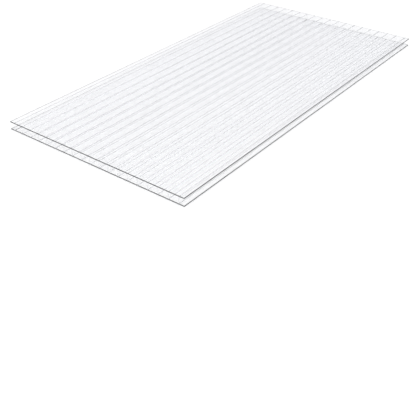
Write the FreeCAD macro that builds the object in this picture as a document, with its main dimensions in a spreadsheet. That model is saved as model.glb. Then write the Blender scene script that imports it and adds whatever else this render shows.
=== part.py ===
"""Twin-wall polycarbonate sheet, lying flat, sawn from wider extruded stock.

Two flat skins are joined by upright ribs, with rounded roots where a rib meets a skin.
The flutes between the ribs run the whole length and are open at both ends. The saw ran
through a flute on each long side, so the skins stand out past the outer ribs there and
no wall closes the side.

X is the width, Y the length along the flutes and Z the thickness. The origin is the
middle of the underside. All sizes are in millimetres.
"""

import FreeCAD, Part
import math
import os
import Sketcher

OUTPUT_FOLDER = "parts"
SIZES_NAME = "Sizes"
SHEET_NODE = "multiwall_sheet"

# Name, value and meaning of each driving size.
DRIVING_SIZES = [
    ("sheet_thickness", 8.0, "Overall thickness, skin face to skin face"),
    ("sheet_length", 418.0, "Length along the flutes, saw cut to saw cut"),
    ("flute_pitch", 11.0, "Distance from one rib's middle to the next"),
    ("rib_count", 19, "Upright ribs across the width"),
    ("side_overhang", 5.5, "Skin left past the middle of an outer rib by the side cut"),
    ("top_skin", 0.5, "Thickness of the upper skin"),
    ("bottom_skin", 0.5, "Thickness of the lower skin"),
    ("rib_wall", 0.4, "Thickness of one rib"),
    ("root_radius", 0.45, "Rounding where a rib runs into a skin"),
]

# Sizes that follow from the driving ones.
DERIVED_SIZES = [
    ("sheet_width", "(rib_count - 1) * flute_pitch + 2 * side_overhang", "Across the flutes"),
    ("flute_width", "flute_pitch - rib_wall", "Clear width of one flute"),
    ("flute_height", "sheet_thickness - top_skin - bottom_skin", "Clear height of one flute"),
    ("flute_count", "rib_count + 1", "Flutes, with the two that the side cuts open"),
    ("first_rib_x", "sheet_width / 2 - side_overhang", "Outer rib's middle from the sheet's middle"),
    ("first_flute_reach", "first_rib_x + flute_pitch - rib_wall / 2", "Outer wall of the first flute"),
]

# Which end of a line or arc a sketch constraint names.
START, END = 1, 2
# The sketch's own origin point, as a constraint names it.
SKETCH_ORIGIN = (-1, 1)
QUARTER_TURN = math.pi / 2


def make_sizes(doc):
    """Fill the spreadsheet with the driving sizes and the ones worked out from them."""
    sizes = doc.addObject("Spreadsheet::Sheet", SIZES_NAME)
    sizes.Label = SIZES_NAME
    rows = [(alias, str(value), meaning) for alias, value, meaning in DRIVING_SIZES]
    rows += [(alias, "=" + formula, meaning) for alias, formula, meaning in DERIVED_SIZES]
    for row, (alias, content, meaning) in enumerate(rows, start=1):
        sizes.set(f"A{row}", alias)
        sizes.set(f"B{row}", content)
        sizes.set(f"C{row}", meaning)
        sizes.setAlias(f"B{row}", alias)
    doc.recompute()
    return sizes


def bind(target, property_name, formula):
    """Tie one property of an object to a formula over the spreadsheet's sizes."""
    target.setExpression(property_name, formula)


def origin_feature(body, role):
    """Return the body's own origin plane or axis with this role."""
    return next(item for item in body.Origin.OriginFeatures if item.Role == role)


def add_section_sketch(body, name):
    """Add an empty sketch on the upright plane across the flutes."""
    sketch = body.newObject("Sketcher::SketchObject", name)
    sketch.Label = name
    sketch.AttachmentSupport = [(origin_feature(body, "XZ_Plane"), "")]
    sketch.MapMode = "FlatFace"
    return sketch


def add_dimension(sketch, name, value, formula, kind, *geometry):
    """Add a named dimension to the sketch and tie it to a formula over the sizes."""
    index = sketch.addConstraint(Sketcher.Constraint(kind, *geometry, value))
    sketch.renameConstraint(index, name)
    bind(sketch, f"Constraints.{name}", formula)


def square_up(sketch, bottom, right, top, left):
    """Hold the four straight sides of a section level and upright."""
    for line in (bottom, top):
        sketch.addConstraint(Sketcher.Constraint("Horizontal", line))
    for line in (right, left):
        sketch.addConstraint(Sketcher.Constraint("Vertical", line))


def draw_slab_section(sketch, sizes):
    """Draw the plain outline of the sheet, standing on the X axis about its middle."""
    half_width = sizes.sheet_width / 2
    height = sizes.sheet_thickness
    corners = [
        FreeCAD.Vector(-half_width, 0, 0),
        FreeCAD.Vector(half_width, 0, 0),
        FreeCAD.Vector(half_width, height, 0),
        FreeCAD.Vector(-half_width, height, 0),
    ]
    lines = [
        sketch.addGeometry(Part.LineSegment(start, end))
        for start, end in zip(corners, corners[1:] + corners[:1])
    ]
    for line, following in zip(lines, lines[1:] + lines[:1]):
        sketch.addConstraint(Sketcher.Constraint("Coincident", line, END, following, START))
    bottom, right, top, left = lines
    square_up(sketch, bottom, right, top, left)
    sketch.addConstraint(Sketcher.Constraint("Symmetric", bottom, START, bottom, END, *SKETCH_ORIGIN))
    add_dimension(
        sketch, "width", sizes.sheet_width, f"{SIZES_NAME}.sheet_width",
        "DistanceX", bottom, START, bottom, END,
    )
    add_dimension(
        sketch, "thickness", height, f"{SIZES_NAME}.sheet_thickness",
        "DistanceY", right, START, right, END,
    )


def draw_flute_section(sketch, sizes):
    """Draw the first flute on the left: a rounded opening between the two skins."""
    radius = sizes.root_radius
    left_x = -sizes.first_flute_reach
    right_x = left_x + sizes.flute_width
    low_z = sizes.bottom_skin
    high_z = low_z + sizes.flute_height
    centres = [
        FreeCAD.Vector(left_x + radius, low_z + radius, 0),
        FreeCAD.Vector(right_x - radius, low_z + radius, 0),
        FreeCAD.Vector(right_x - radius, high_z - radius, 0),
        FreeCAD.Vector(left_x + radius, high_z - radius, 0),
    ]
    arcs = []
    for quarter, centre in enumerate(centres, start=2):
        circle = Part.Circle(centre, FreeCAD.Vector(0, 0, 1), radius)
        arc = Part.ArcOfCircle(circle, quarter * QUARTER_TURN, (quarter + 1) * QUARTER_TURN)
        arcs.append((sketch.addGeometry(arc), arc))
    lines = []
    for (_, arc), (_, following) in zip(arcs, arcs[1:] + arcs[:1]):
        lines.append(sketch.addGeometry(Part.LineSegment(arc.EndPoint, following.StartPoint)))
    roots = [index for index, _ in arcs]
    for root, line, following in zip(roots, lines, roots[1:] + roots[:1]):
        sketch.addConstraint(Sketcher.Constraint("Tangent", root, END, line, START))
        sketch.addConstraint(Sketcher.Constraint("Tangent", line, END, following, START))
    for root in roots[1:]:
        sketch.addConstraint(Sketcher.Constraint("Equal", roots[0], root))
    bottom, right, top, left = lines
    square_up(sketch, bottom, right, top, left)
    add_dimension(
        sketch, "root", radius, f"{SIZES_NAME}.root_radius",
        "Radius", roots[0],
    )
    add_dimension(
        sketch, "clear_width", sizes.flute_width, f"{SIZES_NAME}.flute_width",
        "DistanceX", left, END, right, START,
    )
    add_dimension(
        sketch, "clear_height", sizes.flute_height, f"{SIZES_NAME}.flute_height",
        "DistanceY", bottom, START, top, END,
    )
    add_dimension(
        sketch, "lower_skin", sizes.bottom_skin, f"{SIZES_NAME}.bottom_skin",
        "DistanceY", *SKETCH_ORIGIN, bottom, START,
    )
    add_dimension(
        sketch, "reach", sizes.first_flute_reach, f"{SIZES_NAME}.first_flute_reach",
        "DistanceX", left, END, *SKETCH_ORIGIN,
    )


def make_sheet(doc, sizes):
    """Build the sheet: a slab, one flute cut along it, and the flute repeated across."""
    body = doc.addObject("PartDesign::Body", "Sheet")
    body.Label = SHEET_NODE

    slab_section = add_section_sketch(body, "SlabSection")
    draw_slab_section(slab_section, sizes)
    slab = body.newObject("PartDesign::Pad", "Slab")
    slab.Profile = slab_section
    slab.SideType = "Symmetric"
    bind(slab, "Length", f"{SIZES_NAME}.sheet_length")

    flute_section = add_section_sketch(body, "FluteSection")
    draw_flute_section(flute_section, sizes)
    flute = body.newObject("PartDesign::Pocket", "Flute")
    flute.Profile = flute_section
    flute.SideType = "Symmetric"
    flute.Type = "ThroughAll"

    flutes = body.newObject("PartDesign::LinearPattern", "Flutes")
    flutes.Originals = [flute]
    flutes.Direction = (origin_feature(body, "X_Axis"), [""])
    flutes.Mode = "Spacing"
    bind(flutes, "Offset", f"{SIZES_NAME}.flute_pitch")
    bind(flutes, "Occurrences", f"{SIZES_NAME}.flute_count")
    body.Tip = flutes
    doc.recompute()
    return body


def section_area(sizes):
    """Work out the area of the cut end from the sizes, to compare the solid with."""
    rounding = (1 - math.pi / 4) * sizes.root_radius ** 2
    skins = sizes.sheet_width * (sizes.top_skin + sizes.bottom_skin)
    ribs = sizes.rib_count * (sizes.rib_wall * sizes.flute_height + 4 * rounding)
    return skins + ribs


def check_document(doc):
    """Stop if any feature or sketch failed to compute."""
    for item in doc.Objects:
        faults = {"Invalid", "Error"} & set(item.State)
        if faults:
            raise RuntimeError(f"{item.Name} did not compute: {sorted(faults)}")


def check_shape(body):
    """Stop if a sub-part's shape is missing or not valid."""
    if body.Shape.isNull() or not body.Shape.isValid():
        raise RuntimeError(f"{body.Label} has no valid shape")


def export_parts(bodies):
    """Write each sub-part's shape to a file named after it."""
    os.makedirs(OUTPUT_FOLDER, exist_ok=True)
    for body in bodies:
        body.Shape.exportStep(os.path.join(OUTPUT_FOLDER, body.Label + ".step"))


def main():
    """Build, check and write the sheet, and print its main figures."""
    doc = FreeCAD.newDocument("MultiwallSheet")
    sizes = make_sizes(doc)
    bodies = [make_sheet(doc, sizes)]
    check_document(doc)
    for body in bodies:
        check_shape(body)
        expected = section_area(sizes) * sizes.sheet_length
        print(f"{body.Label}: volume {body.Shape.Volume:.1f} mm3, from its sizes {expected:.1f} mm3")
        print(f"{body.Label}: {len(body.Shape.Solids)} solid, {body.Shape.BoundBox}")
    export_parts(bodies)


main()
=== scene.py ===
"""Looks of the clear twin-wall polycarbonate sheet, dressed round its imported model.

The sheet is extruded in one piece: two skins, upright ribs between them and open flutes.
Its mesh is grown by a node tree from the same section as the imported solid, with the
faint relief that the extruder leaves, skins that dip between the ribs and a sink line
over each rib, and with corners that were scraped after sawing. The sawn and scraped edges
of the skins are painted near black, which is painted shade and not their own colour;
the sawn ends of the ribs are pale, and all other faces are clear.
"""

import logging
import math
from dataclasses import dataclass
from enum import Enum
from typing import Union

import bpy
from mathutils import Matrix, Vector


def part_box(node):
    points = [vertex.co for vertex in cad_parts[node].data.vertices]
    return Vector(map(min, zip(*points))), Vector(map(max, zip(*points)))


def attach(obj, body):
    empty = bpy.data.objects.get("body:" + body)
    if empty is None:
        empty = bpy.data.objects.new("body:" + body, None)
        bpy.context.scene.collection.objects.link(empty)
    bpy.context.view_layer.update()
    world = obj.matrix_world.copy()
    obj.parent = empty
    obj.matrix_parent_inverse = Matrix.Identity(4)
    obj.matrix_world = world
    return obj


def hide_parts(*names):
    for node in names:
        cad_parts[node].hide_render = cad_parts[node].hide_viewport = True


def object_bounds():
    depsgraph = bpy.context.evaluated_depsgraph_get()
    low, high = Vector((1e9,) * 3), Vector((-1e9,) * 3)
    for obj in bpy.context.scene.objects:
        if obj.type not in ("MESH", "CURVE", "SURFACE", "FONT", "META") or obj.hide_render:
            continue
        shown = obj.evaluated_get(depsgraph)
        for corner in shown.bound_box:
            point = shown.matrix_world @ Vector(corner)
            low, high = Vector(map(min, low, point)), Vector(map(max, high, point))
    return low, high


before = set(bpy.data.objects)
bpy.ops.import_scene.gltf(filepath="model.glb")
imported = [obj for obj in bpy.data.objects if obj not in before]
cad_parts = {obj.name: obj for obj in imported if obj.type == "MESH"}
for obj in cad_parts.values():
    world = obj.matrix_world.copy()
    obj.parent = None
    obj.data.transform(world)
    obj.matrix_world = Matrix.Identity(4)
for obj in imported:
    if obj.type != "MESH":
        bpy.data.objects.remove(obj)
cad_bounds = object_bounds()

LOG = logging.getLogger("sheet")

SHEET_NODE = "multiwall_sheet"
MILLIMETRE = 0.001

Feed = Union[bpy.types.NodeSocket, int, float, tuple]
# The two shaders that a mix takes, whose inputs have the same name.
FIRST_SHADER = 1
SECOND_SHADER = 2


class Finish(Enum):
    """Finishes of the sheet, by the inputs of the node tree that hold them."""

    CLEAR = "Clear Finish"
    # The skins' cut faces are painted near black: painted shade, not the colour of sawn polycarbonate.
    SKIN_CUT_PAINTED_SHADE = "Skin Cut Painted Shade"
    RIB_CUT = "Rib Cut Finish"


class Graph:
    """A node tree under construction, with short calls that add and join its nodes."""

    def __init__(self, tree: bpy.types.NodeTree) -> None:
        """Start on a tree.

        Args:
            tree: The tree that the calls add to.
        """
        self.tree = tree

    def add(self, kind: str, **settings: object) -> bpy.types.Node:
        """Add a node.

        Args:
            kind: The node's type, as Blender names it.
            **settings: Properties to set on the node.

        Returns:
            The new node.
        """
        node = self.tree.nodes.new(kind)
        for name, value in settings.items():
            setattr(node, name, value)
        return node

    def feed(self, socket: bpy.types.NodeSocket, value: Feed) -> None:
        """Give an input its value, by a link or as a plain setting.

        Args:
            socket: The input.
            value: An output to join to it, or the value itself.
        """
        if isinstance(value, bpy.types.NodeSocket):
            self.tree.links.new(value, socket)
        else:
            socket.default_value = value

    def math(self, operation: str, *values: Feed) -> bpy.types.NodeSocket:
        """Add a sum over plain numbers.

        Args:
            operation: What to work out, such as ADD or MULTIPLY.
            *values: Its inputs, in order.

        Returns:
            The result.
        """
        node = self.add("ShaderNodeMath", operation=operation)
        for socket, value in zip(node.inputs, values):
            self.feed(socket, value)
        return node.outputs["Value"]

    def vector(self, x: Feed = 0.0, y: Feed = 0.0, z: Feed = 0.0) -> bpy.types.NodeSocket:
        """Put three numbers together.

        Args:
            x: The first number.
            y: The second number.
            z: The third number.

        Returns:
            The vector.
        """
        node = self.add("ShaderNodeCombineXYZ")
        for name, value in zip("XYZ", (x, y, z)):
            self.feed(node.inputs[name], value)
        return node.outputs["Vector"]

    def parts(self, vector: bpy.types.NodeSocket) -> tuple[bpy.types.NodeSocket, ...]:
        """Take a vector apart.

        Args:
            vector: The vector.

        Returns:
            Its three numbers.
        """
        node = self.add("ShaderNodeSeparateXYZ")
        self.feed(node.inputs["Vector"], vector)
        return tuple(node.outputs[name] for name in "XYZ")


@dataclass(frozen=True)
class SheetSection:
    """The sheet's section and the relief on its faces, in metres, and how finely it is divided."""

    pitch: float = 11.0 * MILLIMETRE
    skin: float = 0.5 * MILLIMETRE
    rib_wall: float = 0.4 * MILLIMETRE
    root_radius: float = 0.45 * MILLIMETRE
    top_scrape: float = 0.6 * MILLIMETRE
    inner_scrape: float = 0.4 * MILLIMETRE
    bottom_scrape: float = 0.4 * MILLIMETRE
    scrape_depth: float = 0.1 * MILLIMETRE
    dip: float = 0.03 * MILLIMETRE
    sink: float = 0.012 * MILLIMETRE
    sink_width: float = 1.1 * MILLIMETRE
    warp: float = 0.06 * MILLIMETRE
    # Waves of the warp in one metre.
    warp_scale: float = 9.0
    root_points: int = 6
    steps_per_flute: int = 8
    steps_along: int = 48
    seed: float = 4.0


class SheetTree:
    """The node tree that grows the sheet's mesh from its section."""

    NAME = "TwinWallSheet"
    INPUTS = (
        ("Width", "NodeSocketFloat"),
        ("Length", "NodeSocketFloat"),
        ("Thickness", "NodeSocketFloat"),
        ("Pitch", "NodeSocketFloat"),
        ("Ribs", "NodeSocketInt"),
        ("Skin", "NodeSocketFloat"),
        ("Rib Wall", "NodeSocketFloat"),
        ("Root Radius", "NodeSocketFloat"),
        ("Root Points", "NodeSocketInt"),
        ("Top Scrape", "NodeSocketFloat"),
        ("Inner Scrape", "NodeSocketFloat"),
        ("Bottom Scrape", "NodeSocketFloat"),
        ("Scrape Depth", "NodeSocketFloat"),
        ("Steps per Flute", "NodeSocketInt"),
        ("Steps Along", "NodeSocketInt"),
        ("Dip", "NodeSocketFloat"),
        ("Sink", "NodeSocketFloat"),
        ("Sink Width", "NodeSocketFloat"),
        ("Warp", "NodeSocketFloat"),
        ("Warp Scale", "NodeSocketFloat"),
        ("Seed", "NodeSocketFloat"),
        (Finish.CLEAR.value, "NodeSocketMaterial"),
        (Finish.SKIN_CUT_PAINTED_SHADE.value, "NodeSocketMaterial"),
        (Finish.RIB_CUT.value, "NodeSocketMaterial"),
    )
    # Rows of points up the slab's cut faces: both faces, and one just past each skin.
    LEVELS = 4
    HAIR = 0.02 * MILLIMETRE
    # Faces whose normal stands this upright are flat and not cut.
    LEVEL_NORMAL = 0.995
    SHARP_ANGLE = math.radians(35.0)
    # A profile swept round a rectangle is narrowed by this at its mitred corners.
    MITRE = math.sqrt(2)
    # The bend between a flat face and the first step of a rounded root, and its tolerance.
    ROOT_JOINT = math.radians(7.5)
    JOINT_SPREAD = math.radians(2.0)
    WARP_DETAIL = 1.0

    def __init__(self) -> None:
        """Make the tree with its named inputs and its one output."""
        self.tree = bpy.data.node_groups.new(self.NAME, "GeometryNodeTree")
        self.graph = Graph(self.tree)
        for name, kind in self.INPUTS:
            self.tree.interface.new_socket(name, in_out="INPUT", socket_type=kind)
        self.tree.interface.new_socket("Geometry", in_out="OUTPUT", socket_type="NodeSocketGeometry")
        self.given = self.graph.add("NodeGroupInput").outputs
        self.join_up()

    def identifiers(self) -> dict[str, str]:
        """Return each input's identifier by its name."""
        items = self.tree.interface.items_tree
        return {item.name: item.identifier for item in items if item.in_out == "INPUT"}

    def join_up(self) -> None:
        """Add the steps from the plain slab to the finished sheet."""
        graph = self.graph
        carved = graph.add("GeometryNodeMeshBoolean", operation="DIFFERENCE", solver="EXACT")
        graph.feed(carved.inputs["Mesh 1"], self.coat(self.slab(), Finish.CLEAR))
        for cutter in (self.flutes(), self.scrapes()):
            graph.feed(carved.inputs["Mesh 2"], self.coat(cutter, Finish.CLEAR))
        relieved = self.relieve(carved.outputs["Mesh"])
        skin_cuts, rib_cuts = self.saw_cuts()
        realized = graph.add("GeometryNodeRealizeInstances")
        shaded = self.shade(relieved, graph.math("ADD", skin_cuts, rib_cuts))
        graph.feed(realized.inputs["Geometry"], shaded)
        # The skins' cut faces take the near-black painted shade, and the ribs' ends their pale sawn
        # colour.
        dressed = self.coat(realized.outputs["Geometry"], Finish.SKIN_CUT_PAINTED_SHADE, skin_cuts)
        dressed = self.coat(dressed, Finish.RIB_CUT, rib_cuts)
        graph.feed(graph.add("NodeGroupOutput").inputs["Geometry"], dressed)

    def coat(
        self, mesh: bpy.types.NodeSocket, finish: Finish, faces: Feed = True,
    ) -> bpy.types.NodeSocket:
        """Give faces one of the finishes.

        Args:
            mesh: The mesh.
            finish: The finish.
            faces: The choice of faces, or all of them.

        Returns:
            The mesh with its finish.
        """
        coat = self.graph.add("GeometryNodeSetMaterial")
        self.graph.feed(coat.inputs["Geometry"], mesh)
        self.graph.feed(coat.inputs["Selection"], faces)
        self.graph.feed(coat.inputs["Material"], self.given[finish.value])
        return coat.outputs["Geometry"]

    def slab(self) -> bpy.types.NodeSocket:
        """Add the plain slab, with points enough across each flute for the relief.

        Returns:
            The slab's mesh, standing on the floor.
        """
        graph, given = self.graph, self.given
        slab = graph.add("GeometryNodeMeshCube")
        graph.feed(slab.inputs["Size"], graph.vector(given["Width"], given["Length"], given["Thickness"]))
        across = graph.math("MULTIPLY", given["Ribs"], given["Steps per Flute"])
        graph.feed(slab.inputs["Vertices X"], graph.math("ADD", across, 1))
        graph.feed(slab.inputs["Vertices Y"], graph.math("ADD", given["Steps Along"], 1))
        graph.feed(slab.inputs["Vertices Z"], self.LEVELS)
        x, y, z = graph.parts(graph.add("GeometryNodeInputPosition").outputs["Position"])
        half = graph.math("MULTIPLY", given["Thickness"], 0.5)
        quarter = graph.math("MULTIPLY", given["Thickness"], 0.25)
        inner = graph.math("LESS_THAN", graph.math("ABSOLUTE", z), quarter)
        into_skin = graph.math("MULTIPLY", inner, graph.math("ADD", given["Skin"], self.HAIR))
        reach = graph.math("SUBTRACT", half, into_skin)
        shaped = graph.add("GeometryNodeSetPosition")
        graph.feed(shaped.inputs["Geometry"], slab.outputs["Mesh"])
        height = graph.math("MULTIPLY_ADD", graph.math("SIGN", z), reach, half)
        graph.feed(shaped.inputs["Position"], graph.vector(x, y, height))
        return shaped.outputs["Geometry"]

    def scrapes(self) -> bpy.types.NodeSocket:
        """Add thin rings round the border, which take off the skins' corners.

        Returns:
            The rings, one over the other.
        """
        graph, given = self.graph, self.given
        border = graph.add("GeometryNodeCurvePrimitiveQuadrilateral", mode="RECTANGLE")
        graph.feed(border.inputs["Width"], given["Width"])
        graph.feed(border.inputs["Height"], given["Length"])
        rings = graph.add("GeometryNodeJoinGeometry")
        levels = {
            "Bottom Scrape": 0.0,
            "Inner Scrape": given["Skin"],
            "Top Scrape": given["Thickness"],
        }
        for width, height in levels.items():
            blade = graph.add("GeometryNodeCurvePrimitiveQuadrilateral", mode="KITE")
            graph.feed(blade.inputs["Width"], graph.math("MULTIPLY", given[width], 2 * self.MITRE))
            graph.feed(blade.inputs["Bottom Height"], given["Scrape Depth"])
            graph.feed(blade.inputs["Top Height"], given["Scrape Depth"])
            ring = graph.add("GeometryNodeCurveToMesh")
            graph.feed(ring.inputs["Curve"], border.outputs["Curve"])
            graph.feed(ring.inputs["Profile Curve"], blade.outputs["Curve"])
            lifted = graph.add("GeometryNodeTransform")
            graph.feed(lifted.inputs["Geometry"], ring.outputs["Mesh"])
            graph.feed(lifted.inputs["Translation"], graph.vector(z=height))
            graph.feed(rings.inputs["Geometry"], lifted.outputs["Geometry"])
        return rings.outputs["Geometry"]

    def flutes(self) -> bpy.types.NodeSocket:
        """Add one rounded bar for each flute, with half a flute over at each side.

        Returns:
            The bars, side by side and a little longer than the slab.
        """
        graph, given = self.graph, self.given
        profile = graph.add("GeometryNodeCurvePrimitiveQuadrilateral", mode="RECTANGLE")
        clear_width = graph.math("SUBTRACT", given["Pitch"], given["Rib Wall"])
        both_skins = graph.math("MULTIPLY", given["Skin"], 2)
        clear_height = graph.math("SUBTRACT", given["Thickness"], both_skins)
        graph.feed(profile.inputs["Width"], clear_width)
        graph.feed(profile.inputs["Height"], clear_height)
        rounded = graph.add("GeometryNodeFilletCurve", mode="POLY")
        graph.feed(rounded.inputs["Curve"], profile.outputs["Curve"])
        graph.feed(rounded.inputs["Count"], given["Root Points"])
        graph.feed(rounded.inputs["Radius"], given["Root Radius"])

        middle = graph.math("MULTIPLY", given["Thickness"], 0.5)
        reach = graph.math("MULTIPLY_ADD", given["Length"], 0.5, given["Pitch"])
        path = graph.add("GeometryNodeCurvePrimitiveLine")
        graph.feed(path.inputs["Start"], graph.vector(0.0, graph.math("MULTIPLY", reach, -1), middle))
        graph.feed(path.inputs["End"], graph.vector(0.0, reach, middle))
        stepped = graph.add("GeometryNodeResampleCurve")
        graph.feed(stepped.inputs["Curve"], path.outputs["Curve"])
        graph.feed(stepped.inputs["Count"], given["Steps Along"])
        bar = graph.add("GeometryNodeCurveToMesh")
        graph.feed(bar.inputs["Curve"], stepped.outputs["Curve"])
        graph.feed(bar.inputs["Profile Curve"], rounded.outputs["Curve"])
        graph.feed(bar.inputs["Fill Caps"], True)

        places = graph.add("GeometryNodeMeshLine", mode="OFFSET")
        half_row = graph.math("MULTIPLY", given["Ribs"], -0.5)
        graph.feed(places.inputs["Count"], graph.math("ADD", given["Ribs"], 1))
        first = graph.math("MULTIPLY", half_row, given["Pitch"])
        graph.feed(places.inputs["Start Location"], graph.vector(first))
        graph.feed(places.inputs["Offset"], graph.vector(given["Pitch"]))
        bars = graph.add("GeometryNodeInstanceOnPoints")
        graph.feed(bars.inputs["Points"], places.outputs["Mesh"])
        graph.feed(bars.inputs["Instance"], bar.outputs["Mesh"])
        solid = graph.add("GeometryNodeRealizeInstances")
        graph.feed(solid.inputs["Geometry"], bars.outputs["Instances"])
        return solid.outputs["Geometry"]

    def saw_cuts(self) -> tuple[bpy.types.NodeSocket, bpy.types.NodeSocket]:
        """Tell the sawn and scraped faces on the skins' borders from the sawn ends of the ribs.

        Returns:
            The choice of the skins' cut faces and the choice of the ribs' cut faces.
        """
        graph, given = self.graph, self.given
        x, y, z = graph.parts(graph.add("GeometryNodeInputPosition").outputs["Position"])
        _, _, upright = graph.parts(graph.add("GeometryNodeInputNormal").outputs["Normal"])
        margin = graph.math("MULTIPLY", given["Top Scrape"], -1)
        beyond = []
        for place, span in ((x, "Width"), (y, "Length")):
            limit = graph.math("MULTIPLY_ADD", given[span], 0.5, margin)
            beyond.append(graph.math("GREATER_THAN", graph.math("ABSOLUTE", place), limit))
        tilted = graph.math("LESS_THAN", graph.math("ABSOLUTE", upright), self.LEVEL_NORMAL)
        cut = graph.math("MULTIPLY", graph.math("MAXIMUM", *beyond), tilted)
        above_middle = graph.math("MULTIPLY_ADD", given["Thickness"], -0.5, z)
        from_middle = graph.math("ABSOLUTE", above_middle)
        less_skin = graph.math("MULTIPLY", given["Skin"], -1)
        reach = graph.math("MULTIPLY_ADD", given["Thickness"], 0.5, less_skin)
        between = graph.math("LESS_THAN", from_middle, reach)
        on_skins = graph.math("MULTIPLY", cut, graph.math("SUBTRACT", 1, between))
        return on_skins, graph.math("MULTIPLY", cut, between)

    def shade(self, mesh: bpy.types.NodeSocket, cuts: bpy.types.NodeSocket) -> bpy.types.NodeSocket:
        """Shade the faces smooth, and keep sharp the cuts and where a root meets a flat face.

        Args:
            mesh: The relieved sheet.
            cuts: The choice of its sawn and scraped faces.

        Returns:
            The sheet, smooth over its skins and rib roots only.
        """
        graph = self.graph
        smooth = graph.add("GeometryNodeSetShadeSmooth", domain="FACE")
        graph.feed(smooth.inputs["Geometry"], mesh)
        graph.feed(smooth.inputs["Shade Smooth"], graph.math("SUBTRACT", 1, cuts))
        bend = graph.add("GeometryNodeInputMeshEdgeAngle").outputs["Unsigned Angle"]
        edges = graph.add("GeometryNodeSetShadeSmooth", domain="EDGE")
        graph.feed(edges.inputs["Geometry"], smooth.outputs["Geometry"])
        hard = graph.math("GREATER_THAN", bend, self.SHARP_ANGLE)
        joint = graph.math("COMPARE", bend, self.ROOT_JOINT, self.JOINT_SPREAD)
        graph.feed(edges.inputs["Selection"], graph.math("MAXIMUM", hard, joint))
        graph.feed(edges.inputs["Shade Smooth"], False)
        return edges.outputs["Geometry"]

    def relieve(self, mesh: bpy.types.NodeSocket) -> bpy.types.NodeSocket:
        """Dip the skins between the ribs, sink them over the ribs and warp them slightly.

        Args:
            mesh: The carved sheet.

        Returns:
            The sheet with its relief, never outside the plain slab.
        """
        graph, given = self.graph, self.given
        position = graph.add("GeometryNodeInputPosition").outputs["Position"]
        x, _, z = graph.parts(position)
        from_side = graph.math("MULTIPLY_ADD", given["Width"], 0.5, x)
        turn = graph.math("FRACT", graph.math("DIVIDE", from_side, given["Pitch"]))
        swing = graph.math("COSINE", graph.math("MULTIPLY", turn, math.tau))
        dip = graph.math("MULTIPLY", graph.math("MULTIPLY_ADD", swing, 0.5, 0.5), given["Dip"])
        from_rib = graph.math("MULTIPLY", graph.math("SUBTRACT", turn, 0.5), given["Pitch"])
        spread = graph.math("POWER", graph.math("DIVIDE", from_rib, given["Sink Width"]), 2)
        fall = graph.math("EXPONENT", graph.math("MULTIPLY", spread, -1))
        sink = graph.math("MULTIPLY", fall, given["Sink"])
        noise = graph.add("ShaderNodeTexNoise", noise_dimensions="4D")
        graph.feed(noise.inputs["Vector"], position)
        graph.feed(noise.inputs["W"], given["Seed"])
        graph.feed(noise.inputs["Scale"], given["Warp Scale"])
        graph.feed(noise.inputs["Detail"], self.WARP_DETAIL)
        warp = graph.math("MULTIPLY", noise.outputs["Fac"], given["Warp"])
        inward = graph.math("ADD", graph.math("ADD", dip, sink), warp)
        height = graph.math("DIVIDE", z, given["Thickness"])
        side = graph.math("MULTIPLY_ADD", height, -2, 1)
        moved = graph.add("GeometryNodeSetPosition")
        graph.feed(moved.inputs["Geometry"], mesh)
        graph.feed(moved.inputs["Offset"], graph.vector(z=graph.math("MULTIPLY", side, inward)))
        return moved.outputs["Geometry"]


class StreakGroup:
    """Fine streaks as one shader group, which each material places with its own values."""

    NAME = "FineStreaks"
    SOCKETS = (
        ("Spacing", "INPUT", "NodeSocketVector"),
        ("Detail", "INPUT", "NodeSocketFloat"),
        ("Depth", "INPUT", "NodeSocketFloat"),
        ("Pattern", "OUTPUT", "NodeSocketFloat"),
        ("Normal", "OUTPUT", "NodeSocketVector"),
    )

    def __init__(self) -> None:
        """Make the group: a stretched noise, given out as a pattern and as relief."""
        self.tree = bpy.data.node_groups.new(self.NAME, "ShaderNodeTree")
        for name, side, kind in self.SOCKETS:
            self.tree.interface.new_socket(name, in_out=side, socket_type=kind)
        graph = Graph(self.tree)
        given = graph.add("NodeGroupInput").outputs
        scaled = graph.add("ShaderNodeVectorMath", operation="DIVIDE")
        graph.feed(scaled.inputs[0], graph.add("ShaderNodeTexCoord").outputs["Object"])
        graph.feed(scaled.inputs[1], given["Spacing"])
        noise = graph.add("ShaderNodeTexNoise")
        graph.feed(noise.inputs["Vector"], scaled.outputs["Vector"])
        graph.feed(noise.inputs["Scale"], 1.0)
        graph.feed(noise.inputs["Detail"], given["Detail"])
        bump = graph.add("ShaderNodeBump")
        graph.feed(bump.inputs["Distance"], 1.0)
        graph.feed(bump.inputs["Height"], graph.math("MULTIPLY", noise.outputs["Fac"], given["Depth"]))
        result = graph.add("NodeGroupOutput").inputs
        graph.feed(result["Pattern"], noise.outputs["Fac"])
        graph.feed(result["Normal"], bump.outputs["Normal"])


@dataclass(frozen=True)
class Streaks:
    """One material's streaks: how long they are along each axis, how deep and how ragged."""

    spacing: tuple
    depth: float
    detail: float = 2.0

    def place(self, graph: Graph, group: StreakGroup) -> bpy.types.NodeOutputs:
        """Place the shared group in a material, with these values.

        Args:
            graph: The material's nodes.
            group: The shared group.

        Returns:
            Its outputs: the pattern from 0 to 1, and the bent normal.
        """
        node = graph.add("ShaderNodeGroup", node_tree=group.tree)
        graph.feed(node.inputs["Spacing"], self.spacing)
        graph.feed(node.inputs["Detail"], self.detail)
        graph.feed(node.inputs["Depth"], self.depth)
        return node.outputs


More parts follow.
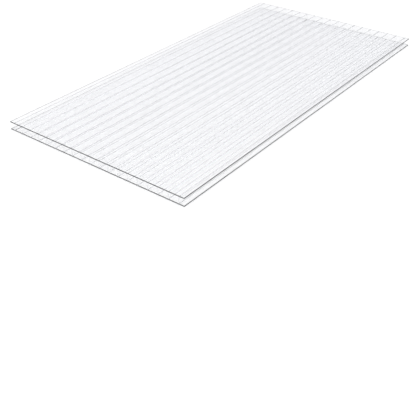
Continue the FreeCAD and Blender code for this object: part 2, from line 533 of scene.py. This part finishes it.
@dataclass(frozen=True)
class ClearPolycarbonate:
    """Clear extruded polycarbonate, with the faint lines that the die leaves."""

    name: str = "clear_extruded_sheet"
    slot: str = "clear_polycarbonate"
    tint: tuple = (1.0, 1.0, 1.0, 1.0)
    hazed_tint: tuple = (0.994, 0.995, 0.996, 1.0)
    roughness: float = 0.005
    hazed_roughness: float = 0.015
    index: float = 1.585
    lamp_shade: tuple = (0.985, 0.985, 0.988, 1.0)
    absorption: tuple = (0.35, 0.38, 0.45, 1.0)
    density: float = 28.0
    die_lines: Streaks = Streaks(
        (3.0 * MILLIMETRE, 400.0 * MILLIMETRE, 3.0 * MILLIMETRE), 0.0005 * MILLIMETRE,
    )

    def material(self, group: StreakGroup) -> bpy.types.Material:
        """Build the material.

        Args:
            group: The shared streaks.

        Returns:
            The finished material.
        """
        material = bpy.data.materials.new(self.name)
        material.use_nodes = True
        material.node_tree.nodes.clear()
        graph = Graph(material.node_tree)
        shader = graph.add("ShaderNodeBsdfPrincipled")
        shader.inputs["IOR"].default_value = self.index
        shader.inputs["Transmission Weight"].default_value = 1.0
        lines = self.die_lines.place(graph, group)
        colour = graph.add("ShaderNodeMix", data_type="RGBA")
        graph.feed(colour.inputs["Factor"], lines["Pattern"])
        graph.feed(colour.inputs["A"], self.tint)
        graph.feed(colour.inputs["B"], self.hazed_tint)
        graph.feed(shader.inputs["Base Color"], colour.outputs["Result"])
        haze = self.hazed_roughness - self.roughness
        roughness = graph.math("MULTIPLY_ADD", lines["Pattern"], haze, self.roughness)
        graph.feed(shader.inputs["Roughness"], roughness)
        graph.feed(shader.inputs["Normal"], lines["Normal"])
        absorb = graph.add("ShaderNodeVolumeAbsorption")
        absorb.inputs["Color"].default_value = self.absorption
        absorb.inputs["Density"].default_value = self.density
        output = graph.add("ShaderNodeOutputMaterial")
        graph.feed(output.inputs["Surface"], self.let_lamps_in(graph, shader.outputs["BSDF"]))
        graph.feed(output.inputs["Volume"], absorb.outputs["Volume"])
        return material

    def let_lamps_in(self, graph: Graph, glass: bpy.types.NodeSocket) -> bpy.types.NodeSocket:
        """Let the light of the studio through to the floor and to the flutes.

        Args:
            graph: The material's nodes.
            glass: The clear shader that every other ray meets.

        Returns:
            The whole surface.
        """
        rays = graph.add("ShaderNodeLightPath").outputs
        film = graph.add("ShaderNodeBsdfTransparent")
        graph.feed(film.inputs["Color"], self.lamp_shade)
        surface = graph.add("ShaderNodeMixShader")
        lighting = graph.math("MAXIMUM", rays["Is Shadow Ray"], rays["Is Diffuse Ray"])
        graph.feed(surface.inputs["Fac"], lighting)
        graph.feed(surface.inputs[FIRST_SHADER], glass)
        graph.feed(surface.inputs[SECOND_SHADER], film.outputs["BSDF"])
        return surface.outputs["Shader"]


@dataclass(frozen=True)
class SawnFace:
    """A face that the saw left, finely scored and uneven in tone."""

    name: str
    colour: tuple
    scored_colour: tuple
    roughness: float
    shine: float
    saw_marks: Streaks = Streaks(
        (0.3 * MILLIMETRE, 0.3 * MILLIMETRE, 4.0 * MILLIMETRE), 0.006 * MILLIMETRE,
    )

    def material(self, group: StreakGroup) -> bpy.types.Material:
        """Build the material.

        Args:
            group: The shared streaks.

        Returns:
            The finished material.
        """
        material = bpy.data.materials.new(self.name)
        material.use_nodes = True
        graph = Graph(material.node_tree)
        shader = material.node_tree.nodes["Principled BSDF"]
        marks = self.saw_marks.place(graph, group)
        colour = graph.add("ShaderNodeMix", data_type="RGBA")
        graph.feed(colour.inputs["Factor"], marks["Pattern"])
        graph.feed(colour.inputs["A"], self.colour)
        graph.feed(colour.inputs["B"], self.scored_colour)
        graph.feed(shader.inputs["Base Color"], colour.outputs["Result"])
        shader.inputs["Roughness"].default_value = self.roughness
        shader.inputs["Specular IOR Level"].default_value = self.shine
        graph.feed(shader.inputs["Normal"], marks["Normal"])
        return material


@dataclass(frozen=True)
class SheetFinishes:
    """The finishes of the sheet: clear all over, near-black painted shade on the skins' cuts, pale on the
    ribs' ends.
    """

    clear: ClearPolycarbonate = ClearPolycarbonate()
    # Near black on the skins' sawn and scraped edges is painted shade for the light that the clear skins
    # lose, not a sawn face's colour.
    skin_cut_painted_shade: SawnFace = SawnFace(
        "sawn_skin_edge_painted_shade", (0.05, 0.05, 0.052, 1.0), (0.095, 0.095, 0.1, 1.0), 0.5, 0.2,
    )
    rib_cut: SawnFace = SawnFace(
        "sawn_rib_end", (0.66, 0.67, 0.69, 1.0), (0.78, 0.79, 0.81, 1.0), 0.6, 0.3,
    )


@dataclass
class TwinWallSheet:
    """The sheet itself: one extruded piece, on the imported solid's own place."""

    section: SheetSection
    finishes: SheetFinishes
    name: str = "twin_wall_sheet"

    def build(self) -> bpy.types.Object:
        """Grow the sheet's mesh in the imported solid's box.

        Returns:
            The sheet as a plain mesh at the origin, with its finishes.
        """
        low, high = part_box(SHEET_NODE)
        width, length, thickness = high - low
        section = self.section
        tree = SheetTree()
        streaks = StreakGroup()
        values = {
            "Width": width,
            "Length": length,
            "Thickness": thickness,
            "Pitch": section.pitch,
            "Ribs": round(width / section.pitch),
            "Skin": section.skin,
            "Rib Wall": section.rib_wall,
            "Root Radius": section.root_radius,
            "Root Points": section.root_points,
            "Top Scrape": section.top_scrape,
            "Inner Scrape": section.inner_scrape,
            "Bottom Scrape": section.bottom_scrape,
            "Scrape Depth": section.scrape_depth,
            "Steps per Flute": section.steps_per_flute,
            "Steps Along": section.steps_along,
            "Dip": section.dip,
            "Sink": section.sink,
            "Sink Width": section.sink_width,
            "Warp": section.warp,
            "Warp Scale": section.warp_scale,
            "Seed": section.seed,
            Finish.CLEAR.value: self.finishes.clear.material(streaks),
            Finish.SKIN_CUT_PAINTED_SHADE.value: self.finishes.skin_cut_painted_shade.material(streaks),
            Finish.RIB_CUT.value: self.finishes.rib_cut.material(streaks),
        }
        grown = bpy.data.objects.new(self.name, bpy.data.meshes.new(self.name))
        bpy.context.scene.collection.objects.link(grown)
        modifier = grown.modifiers.new("Section", "NODES")
        modifier.node_group = tree.tree
        for name, identifier in tree.identifiers().items():
            modifier[identifier] = values[name]
        graph = bpy.context.evaluated_depsgraph_get()
        mesh = bpy.data.meshes.new_from_object(grown.evaluated_get(graph), depsgraph=graph)
        grown.modifiers.remove(modifier)
        grown.data = mesh
        # The cut leaves an empty first slot, which no face uses.
        if mesh.materials[0] is None:
            mesh.materials.pop(index=0)
        return grown

    def dress(self, sheet: bpy.types.Object) -> None:
        """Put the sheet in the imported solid's place.

        Args:
            sheet: The sheet's object.
        """
        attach(sheet, "root")
        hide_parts(SHEET_NODE)


@dataclass(frozen=True)
class Studio:
    """A white floor, a plain pale room round it, and a soft light overhead."""

    floor_size: float = 12.0
    floor_drop: float = 0.1 * MILLIMETRE
    floor_colour: tuple = (0.97, 0.97, 0.97, 1.0)
    white: tuple = (1.0, 1.0, 1.0, 1.0)
    # How much of the floor is plain white when it is seen through the sheet.
    floor_glow: float = 0.5
    # Heights of the world's sky, from level to straight up, and the room's colour there.
    room_stops: tuple = (
        (0.00, (1.00, 1.00, 1.00, 1.0)),
        (0.14, (1.00, 1.00, 1.00, 1.0)),
        (0.26, (0.79, 0.80, 0.84, 1.0)),
        (0.44, (0.93, 0.935, 0.965, 1.0)),
        (0.60, (0.99, 0.995, 1.0, 1.0)),
        (0.92, (1.25, 1.25, 1.25, 1.0)),
    )
    sun_strength: float = 0.2
    sun_angle: float = math.radians(40.0)
    sun_tilt: tuple = (math.radians(25.0), math.radians(-20.0), 0.0)

    def build_floor(self) -> bpy.types.Object:
        """Lay the floor.

        Returns:
            The floor's object.
        """
        half = self.floor_size / 2
        corners = [(-half, -half), (half, -half), (half, half), (-half, half)]
        mesh = bpy.data.meshes.new("floor")
        mesh.from_pydata([(x, y, -self.floor_drop) for x, y in corners], [], [(0, 1, 2, 3)])
        floor = bpy.data.objects.new("floor", mesh)
        bpy.context.scene.collection.objects.link(floor)
        mesh.materials.append(self.floor_material())
        return floor

    def floor_material(self) -> bpy.types.Material:
        """Make the white floor, part of which is plain white where it is seen through the sheet.

        Returns:
            The floor's material.
        """
        material = bpy.data.materials.new("studio_floor")
        material.use_nodes = True
        material.node_tree.nodes.clear()
        graph = Graph(material.node_tree)
        matt = graph.add("ShaderNodeBsdfDiffuse")
        graph.feed(matt.inputs["Color"], self.floor_colour)
        white = graph.add("ShaderNodeEmission")
        rays = graph.add("ShaderNodeLightPath").outputs
        through = graph.math("MAXIMUM", rays["Is Glossy Ray"], rays["Is Transmission Ray"])
        surface = graph.add("ShaderNodeMixShader")
        graph.feed(surface.inputs["Fac"], graph.math("MULTIPLY", through, self.floor_glow))
        graph.feed(surface.inputs[FIRST_SHADER], matt.outputs["BSDF"])
        graph.feed(surface.inputs[SECOND_SHADER], white.outputs["Emission"])
        output = graph.add("ShaderNodeOutputMaterial")
        graph.feed(output.inputs["Surface"], surface.outputs["Shader"])
        return material

    def build_world(self) -> None:
        """Light the room: pale walls low down and a bright ceiling."""
        world = bpy.data.worlds.new("studio")
        bpy.context.scene.world = world
        world.use_nodes = True
        world.node_tree.nodes.clear()
        graph = Graph(world.node_tree)
        _, _, height = graph.parts(graph.add("ShaderNodeTexCoord").outputs["Generated"])
        room = graph.add("ShaderNodeValToRGB")
        stops = room.color_ramp.elements
        while len(stops) < len(self.room_stops):
            stops.new(1.0)
        for stop, (position, colour) in zip(stops, self.room_stops):
            stop.position = position
            stop.color = colour
        graph.feed(room.inputs["Fac"], height)
        seen = graph.add("ShaderNodeMix", data_type="RGBA")
        graph.feed(seen.inputs["Factor"], graph.add("ShaderNodeLightPath").outputs["Is Camera Ray"])
        graph.feed(seen.inputs["A"], room.outputs["Color"])
        graph.feed(seen.inputs["B"], self.white)
        background = graph.add("ShaderNodeBackground")
        graph.feed(background.inputs["Color"], seen.outputs["Result"])
        output = graph.add("ShaderNodeOutputWorld")
        graph.feed(output.inputs["Surface"], background.outputs["Background"])

    def build_lamp(self) -> bpy.types.Object:
        """Hang the soft lamp that gives the sheet its faint shadow.

        Returns:
            The lamp's object.
        """
        light = bpy.data.lights.new("soft_lamp", "SUN")
        light.energy = self.sun_strength
        light.angle = self.sun_angle
        lamp = bpy.data.objects.new("soft_lamp", light)
        lamp.rotation_euler = self.sun_tilt
        bpy.context.scene.collection.objects.link(lamp)
        return lamp


@dataclass(frozen=True)
class PhotoCamera:
    """The photograph's view of the sheet, given from the sheet's nearest lower corner."""

    azimuth: float = math.radians(37.48)
    elevation: float = math.radians(35.12)
    distance: float = 0.5503
    sideways: float = 0.01869
    drop: float = 0.00091
    lens: float = 60.39
    sensor: float = 36.0

    def build(self, corner: Vector) -> bpy.types.Object:
        """Place the camera.

        Args:
            corner: The sheet's nearest lower corner.

        Returns:
            The camera's object.
        """
        level = math.cos(self.elevation)
        forward = Vector((
            -math.sin(self.azimuth) * level,
            math.cos(self.azimuth) * level,
            -math.sin(self.elevation),
        ))
        right = forward.cross(Vector((0.0, 0.0, 1.0))).normalized()
        up = right.cross(forward)
        camera = bpy.data.objects.new("camera", bpy.data.cameras.new("camera"))
        camera.data.sensor_width = self.sensor
        camera.data.lens = self.lens
        camera.location = corner - forward * self.distance + right * self.sideways - up * self.drop
        camera.rotation_mode = "QUATERNION"
        camera.rotation_quaternion = forward.to_track_quat("-Z", "Y")
        bpy.context.scene.collection.objects.link(camera)
        bpy.context.scene.camera = camera
        return camera


@dataclass(frozen=True)
class LightPaths:
    """How many faces a ray may meet, enough to cross every skin and rib in its way."""

    clear_faces: int = 64
    bounces: int = 48

    def allow(self, cycles: bpy.types.PropertyGroup) -> None:
        """Set the limits.

        Args:
            cycles: The scene's render limits.
        """
        cycles.transparent_max_bounces = self.clear_faces
        cycles.max_bounces = self.bounces
        cycles.glossy_bounces = self.bounces
        cycles.transmission_bounces = self.bounces


def main() -> None:
    """Build the sheet, the studio and the camera."""
    logging.basicConfig(level=logging.INFO, format="%(name)s: %(message)s")
    piece = TwinWallSheet(SheetSection(), SheetFinishes())
    sheet = piece.build()
    piece.dress(sheet)
    LOG.info("%s: %d faces", sheet.name, len(sheet.data.polygons))
    studio = Studio()
    studio.build_floor()
    studio.build_world()
    studio.build_lamp()
    low, high = cad_bounds
    PhotoCamera().build(Vector((high.x, low.y, low.z)))
    bpy.context.scene.view_settings.view_transform = "Standard"
    LightPaths().allow(bpy.context.scene.cycles)


if __name__ == "__main__":
    main()
